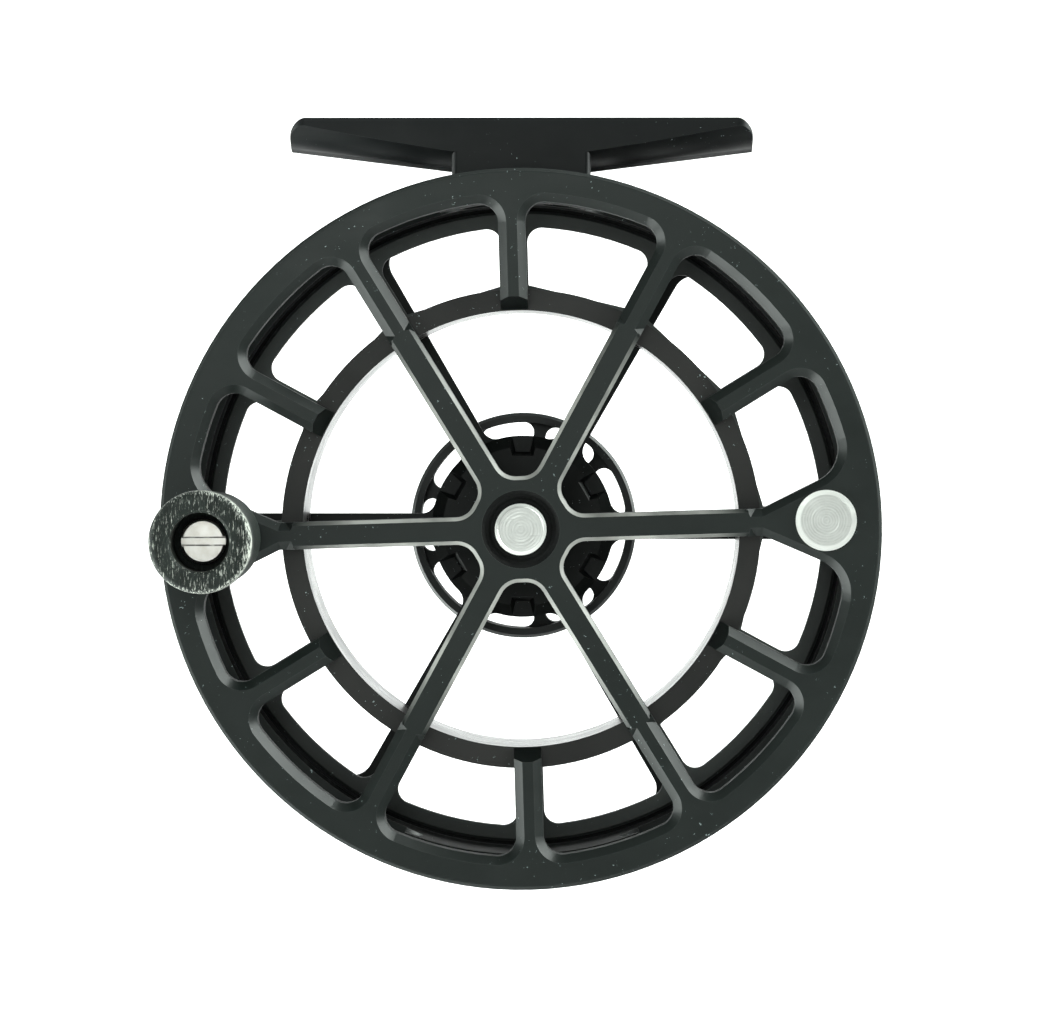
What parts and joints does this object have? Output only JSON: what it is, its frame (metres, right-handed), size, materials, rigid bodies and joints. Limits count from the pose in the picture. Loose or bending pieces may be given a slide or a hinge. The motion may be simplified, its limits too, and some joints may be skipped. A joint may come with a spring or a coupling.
{
  "type": "fly reel",
  "caption": "Ported large-arbor fly reel with open frame, crank handle, counterweight, sealed disc drag, rear drag knob and a coned foot for a rod's reel seat.",
  "frame": {"origin": "on the rod's axis, at the middle of the foot's length", "axes": "+X along the rod, +Y from the spool's handle side to the drag knob, +Z from the reel's axle up to the rod"},
  "size_m": [0.098, 0.0659, 0.1052],
  "materials": {
    "anodised_dark": "satin dark grey anodised aluminium",
    "anodised_foot": "satin blue-black anodised aluminium",
    "bright_aluminium": "fine turned",
    "grip_phenolic": "canvas phenolic, dark green-black with pale fibres",
    "stainless": "turned stainless steel",
    "bearing_steel": "polished",
    "black_plastic": "moulded acetal",
    "seal_rubber": "matt",
    "disc_fibre": "woven carbon friction lining",
    "bronze": "sintered bronze"
  },
  "bodies": {
    "frame": {"frame_front_ring": "anodised_dark", "frame_back_plate": "anodised_dark", "frame_lower_pillar": "anodised_dark", "frame_foot_bridge": "anodised_dark", "reel_foot": "anodised_foot", "foot_screws": "stainless", "spindle": "stainless", "drag_fixed_plate": "stainless", "friction_disc_front": "disc_fibre", "friction_disc_rear": "disc_fibre", "pressure_plate": "stainless", "belleville_springs": "stainless", "housing_snap_ring": "stainless", "front_seal": "seal_rubber", "click_pawl_pin": "stainless", "click_leaf_spring": "stainless", "knob_screw": "stainless", "detent_spring": "stainless"},
    "drag_rotor": {"drag_drive_sleeve": "stainless", "sleeve_bushes": "bronze", "drag_rotor_disc": "stainless", "click_gear": "black_plastic"},
    "push_group": {"push_pins": "stainless", "thrust_washer": "stainless"},
    "drag_knob": {"drag_knob": "anodised_dark"},
    "drag_nut": {"drag_nut": "bronze"},
    "click_pawl": {"click_pawl": "black_plastic"},
    "detent_ball": {"detent_ball": "bearing_steel"},
    "spool_core": {"bearing_inner_rings": "bearing_steel"},
    "spool": {"spool_front_flange": "anodised_dark", "spool_arbor": "anodised_dark", "spool_rear_flange": "anodised_dark", "counterweight": "bright_aluminium", "hub_cap": "black_plastic", "latch_clip": "stainless", "hub_snap_ring": "stainless", "button_spring": "stainless", "bearing_outer_rings": "bearing_steel", "bearing_balls": "bearing_steel", "clutch_shell": "bearing_steel", "clutch_rollers": "bearing_steel", "handle_post": "stainless", "handle_bush": "black_plastic", "handle_washer": "black_plastic", "handle_screw": "bright_aluminium"},
    "release_button": {"release_button": "bright_aluminium"},
    "handle_knob": {"handle_knob": "grip_phenolic"}
  },
  "joints": [
    {"name": "drag_slip", "type": "hinge", "parent": "frame", "child": "drag_rotor", "pos_m": [0, -0.0135, -0.06072], "axis": [0, 1, 0], "continuous": true},
    {"name": "spool_lift", "type": "slide", "parent": "drag_rotor", "child": "spool_core", "axis": [0, -1, 0], "range_m": [0, 0.04], "deforming": ["latch_clip"]},
    {"name": "spool_spin", "type": "hinge", "parent": "spool_core", "child": "spool", "pos_m": [0, -0.0135, -0.06072], "axis": [0, 1, 0], "continuous": true},
    {"name": "handle_spin", "type": "hinge", "parent": "spool", "child": "handle_knob", "pos_m": [-0.04158, -0.0135, -0.06195], "axis": [0, 1, 0], "continuous": true},
    {"name": "release_button_press", "type": "slide", "parent": "spool", "child": "release_button", "axis": [0, 1, 0], "range_m": [0, 0.0011], "stiffness_N_per_m": 2000, "springref_m": -0.0008, "deforming": ["button_spring"]},
    {"name": "drag_knob_turn", "type": "hinge", "parent": "frame", "child": "drag_knob", "pos_m": [0, -0.0135, -0.06072], "axis": [0, -1, 0], "range_deg": [0, 300]},
    {"name": "drag_nut_travel", "type": "slide", "parent": "drag_knob", "child": "drag_nut", "axis": [0, -1, 0], "range_m": [0, 0.0006]},
    {"name": "push_pin_travel", "type": "slide", "parent": "frame", "child": "push_group", "axis": [0, -1, 0], "range_m": [0, 0.0006], "deforming": ["belleville_springs"]},
    {"name": "click_pawl_swing", "type": "hinge", "parent": "frame", "child": "click_pawl", "pos_m": [0.0046, 0.0114, -0.05275], "axis": [0, 1, 0], "range_deg": [0, 9], "stiffness_Nm_per_rad": 0.004, "springref_deg": -11.46, "deforming": ["click_leaf_spring"]},
    {"name": "detent_ball_press", "type": "slide", "parent": "frame", "child": "detent_ball", "axis": [0, -1, 0], "range_m": [0, 0.0003], "stiffness_N_per_m": 800, "springref_m": -0.0006, "deforming": ["detent_spring"]}
  ],
  "couplings": [
    {"joint": "drag_nut_travel", "follows": "drag_knob_turn", "m_per_rad": 0.00011459},
    {"joint": "push_pin_travel", "follows": "drag_knob_turn", "m_per_rad": 0.00011459}
  ]
}
